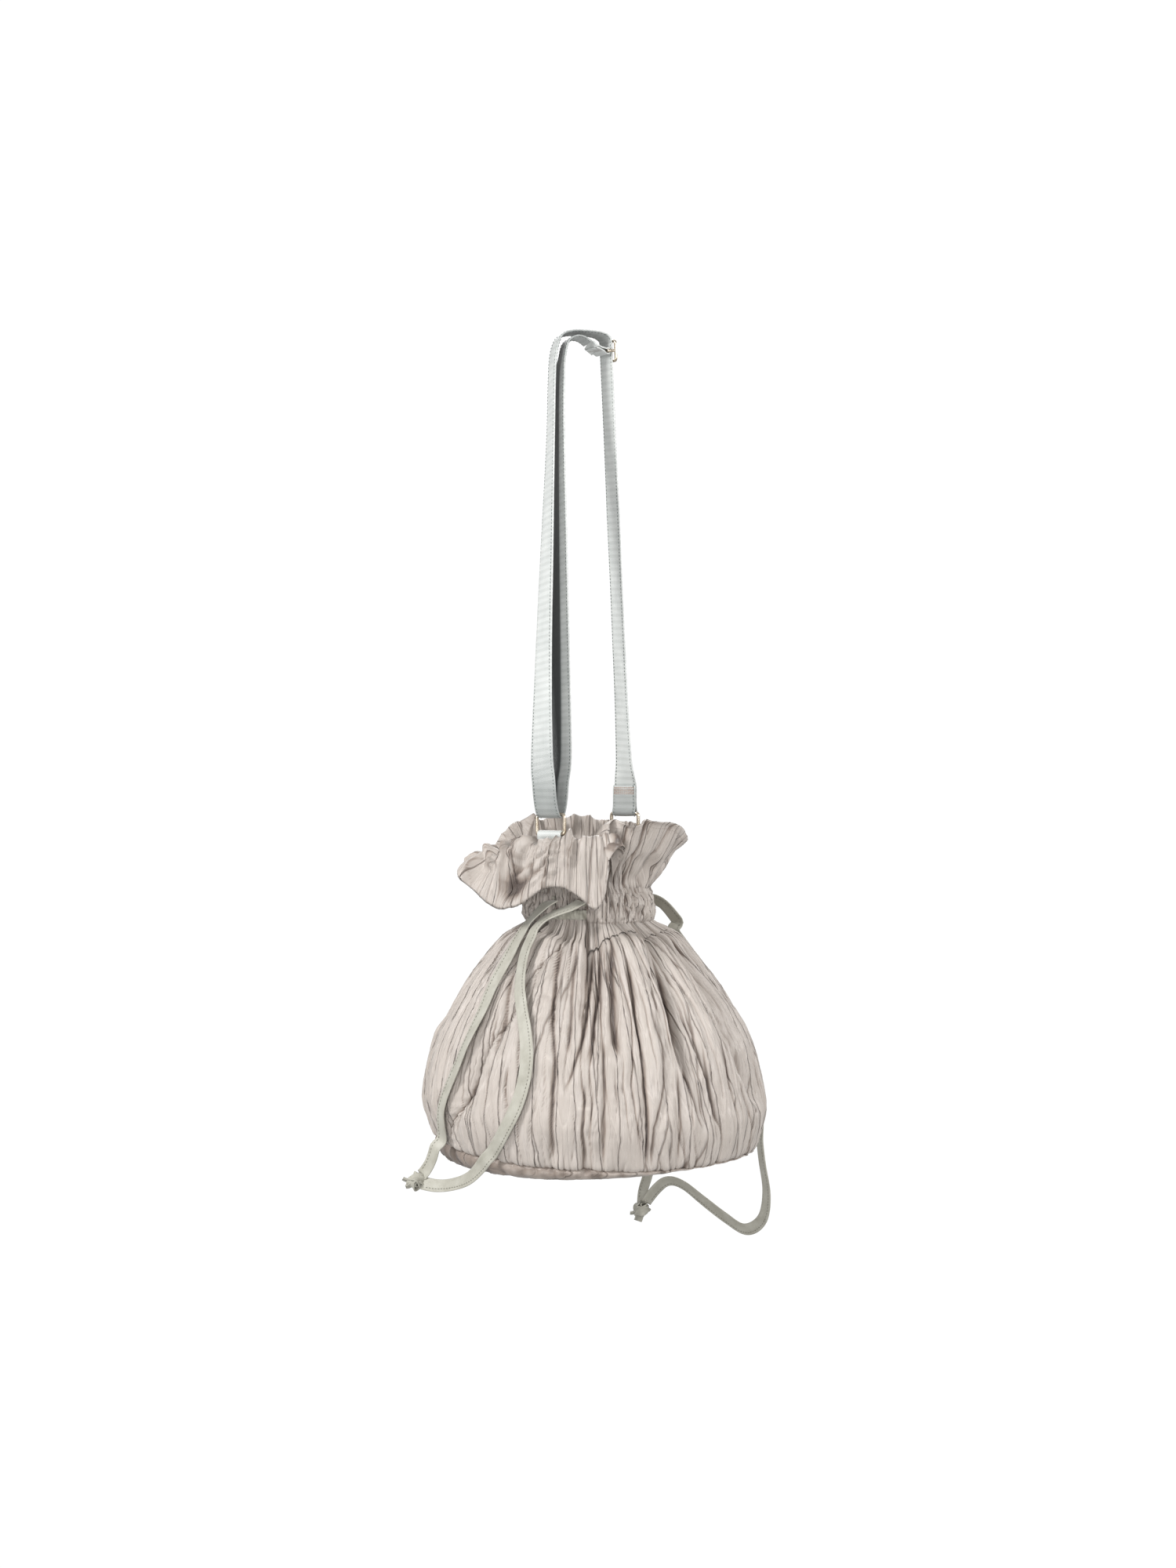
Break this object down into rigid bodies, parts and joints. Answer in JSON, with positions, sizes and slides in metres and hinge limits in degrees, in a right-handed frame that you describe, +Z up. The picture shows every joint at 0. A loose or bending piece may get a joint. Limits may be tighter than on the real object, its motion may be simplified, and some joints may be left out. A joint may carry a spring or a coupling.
{
  "type": "drawstring shoe bag",
  "caption": "Round-based drawstring shoe bag of crinkled satin with a frilled mouth, tape drawcords and an adjustable webbing shoulder strap on wire rings.",
  "frame": {"origin": "the hang point, under the top of the strap's arch, where the hook or peg carries it", "axes": "+Z up, +X from the near side seam and ring to the far ones, +Y towards the back panel"},
  "size_m": [0.3445, 0.3198, 0.8606],
  "materials": {
    "satin": "crinkled satin, irregular vertical pleats",
    "lining": "plain matt lining",
    "tape": "folded satin tape, edge-stitched",
    "webbing": "fine herringbone satin webbing",
    "thread": "polyester thread",
    "nickel": "pale polished nickel"
  },
  "bodies": {
    "strap": {"strap_webbing": "webbing", "strap_end_stitching": "thread"},
    "slider": {"slider_frame": "nickel", "slider_bar": "nickel", "strap_slider_end": "webbing", "slider_end_stitching": "thread"},
    "left_ring": {"left_ring": "nickel"},
    "right_ring": {"right_ring": "nickel"},
    "tabs": {"left_tab": "webbing", "right_tab": "webbing", "left_tab_stitching": "thread", "right_tab_stitching": "thread"},
    "bag": {"front_panel": "satin", "back_panel": "satin", "base_panel": "satin", "front_casing": "satin", "back_casing": "satin", "body_lining": "lining", "base_lining": "lining", "left_drawcord_in_channel": "tape", "right_drawcord_in_channel": "tape"},
    "left_drawcord": {"left_drawcord_back_run": "tape", "left_drawcord_front_run": "tape", "left_drawcord_knot": "tape"},
    "right_drawcord": {"right_drawcord_front_run": "tape", "right_drawcord_back_run": "tape", "right_drawcord_knot": "tape"}
  },
  "joints": [
    {"name": "slider_slide", "type": "slide", "parent": "strap", "child": "slider", "axis": [0.1081, 0.0148, -0.994], "range_m": [0, 0.3]},
    {"name": "left_ring_sway", "type": "hinge", "parent": "strap", "child": "left_ring", "pos_m": [-0.065, -0.012, -0.44], "axis": [0, 1, 0], "range_deg": [-20, 20]},
    {"name": "right_ring_sway", "type": "hinge", "parent": "strap", "child": "right_ring", "pos_m": [0.065, -0.012, -0.44], "axis": [0, 1, 0], "range_deg": [-20, 20]},
    {"name": "tab_level", "type": "hinge", "parent": "left_ring", "child": "tabs", "pos_m": [-0.065, -0.012, -0.457], "axis": [0, 1, 0], "range_deg": [-20, 20]},
    {"name": "bag_swing", "type": "hinge", "parent": "tabs", "child": "bag", "pos_m": [0, -0.012, -0.48], "axis": [1, 0, 0], "range_deg": [-20, 20]},
    {"name": "left_drawcord_swing", "type": "hinge", "parent": "bag", "child": "left_drawcord", "pos_m": [-0.062, -0.025, -0.52], "axis": [0, 1, 0], "range_deg": [0, 30]},
    {"name": "right_drawcord_swing", "type": "hinge", "parent": "bag", "child": "right_drawcord", "pos_m": [0.062, 0, -0.53], "axis": [0, -1, 0], "range_deg": [0, 40]}
  ],
  "couplings": [
    {"joint": "right_ring_sway", "follows": "left_ring_sway", "ratio": 1},
    {"joint": "tab_level", "follows": "left_ring_sway", "ratio": -1}
  ]
}
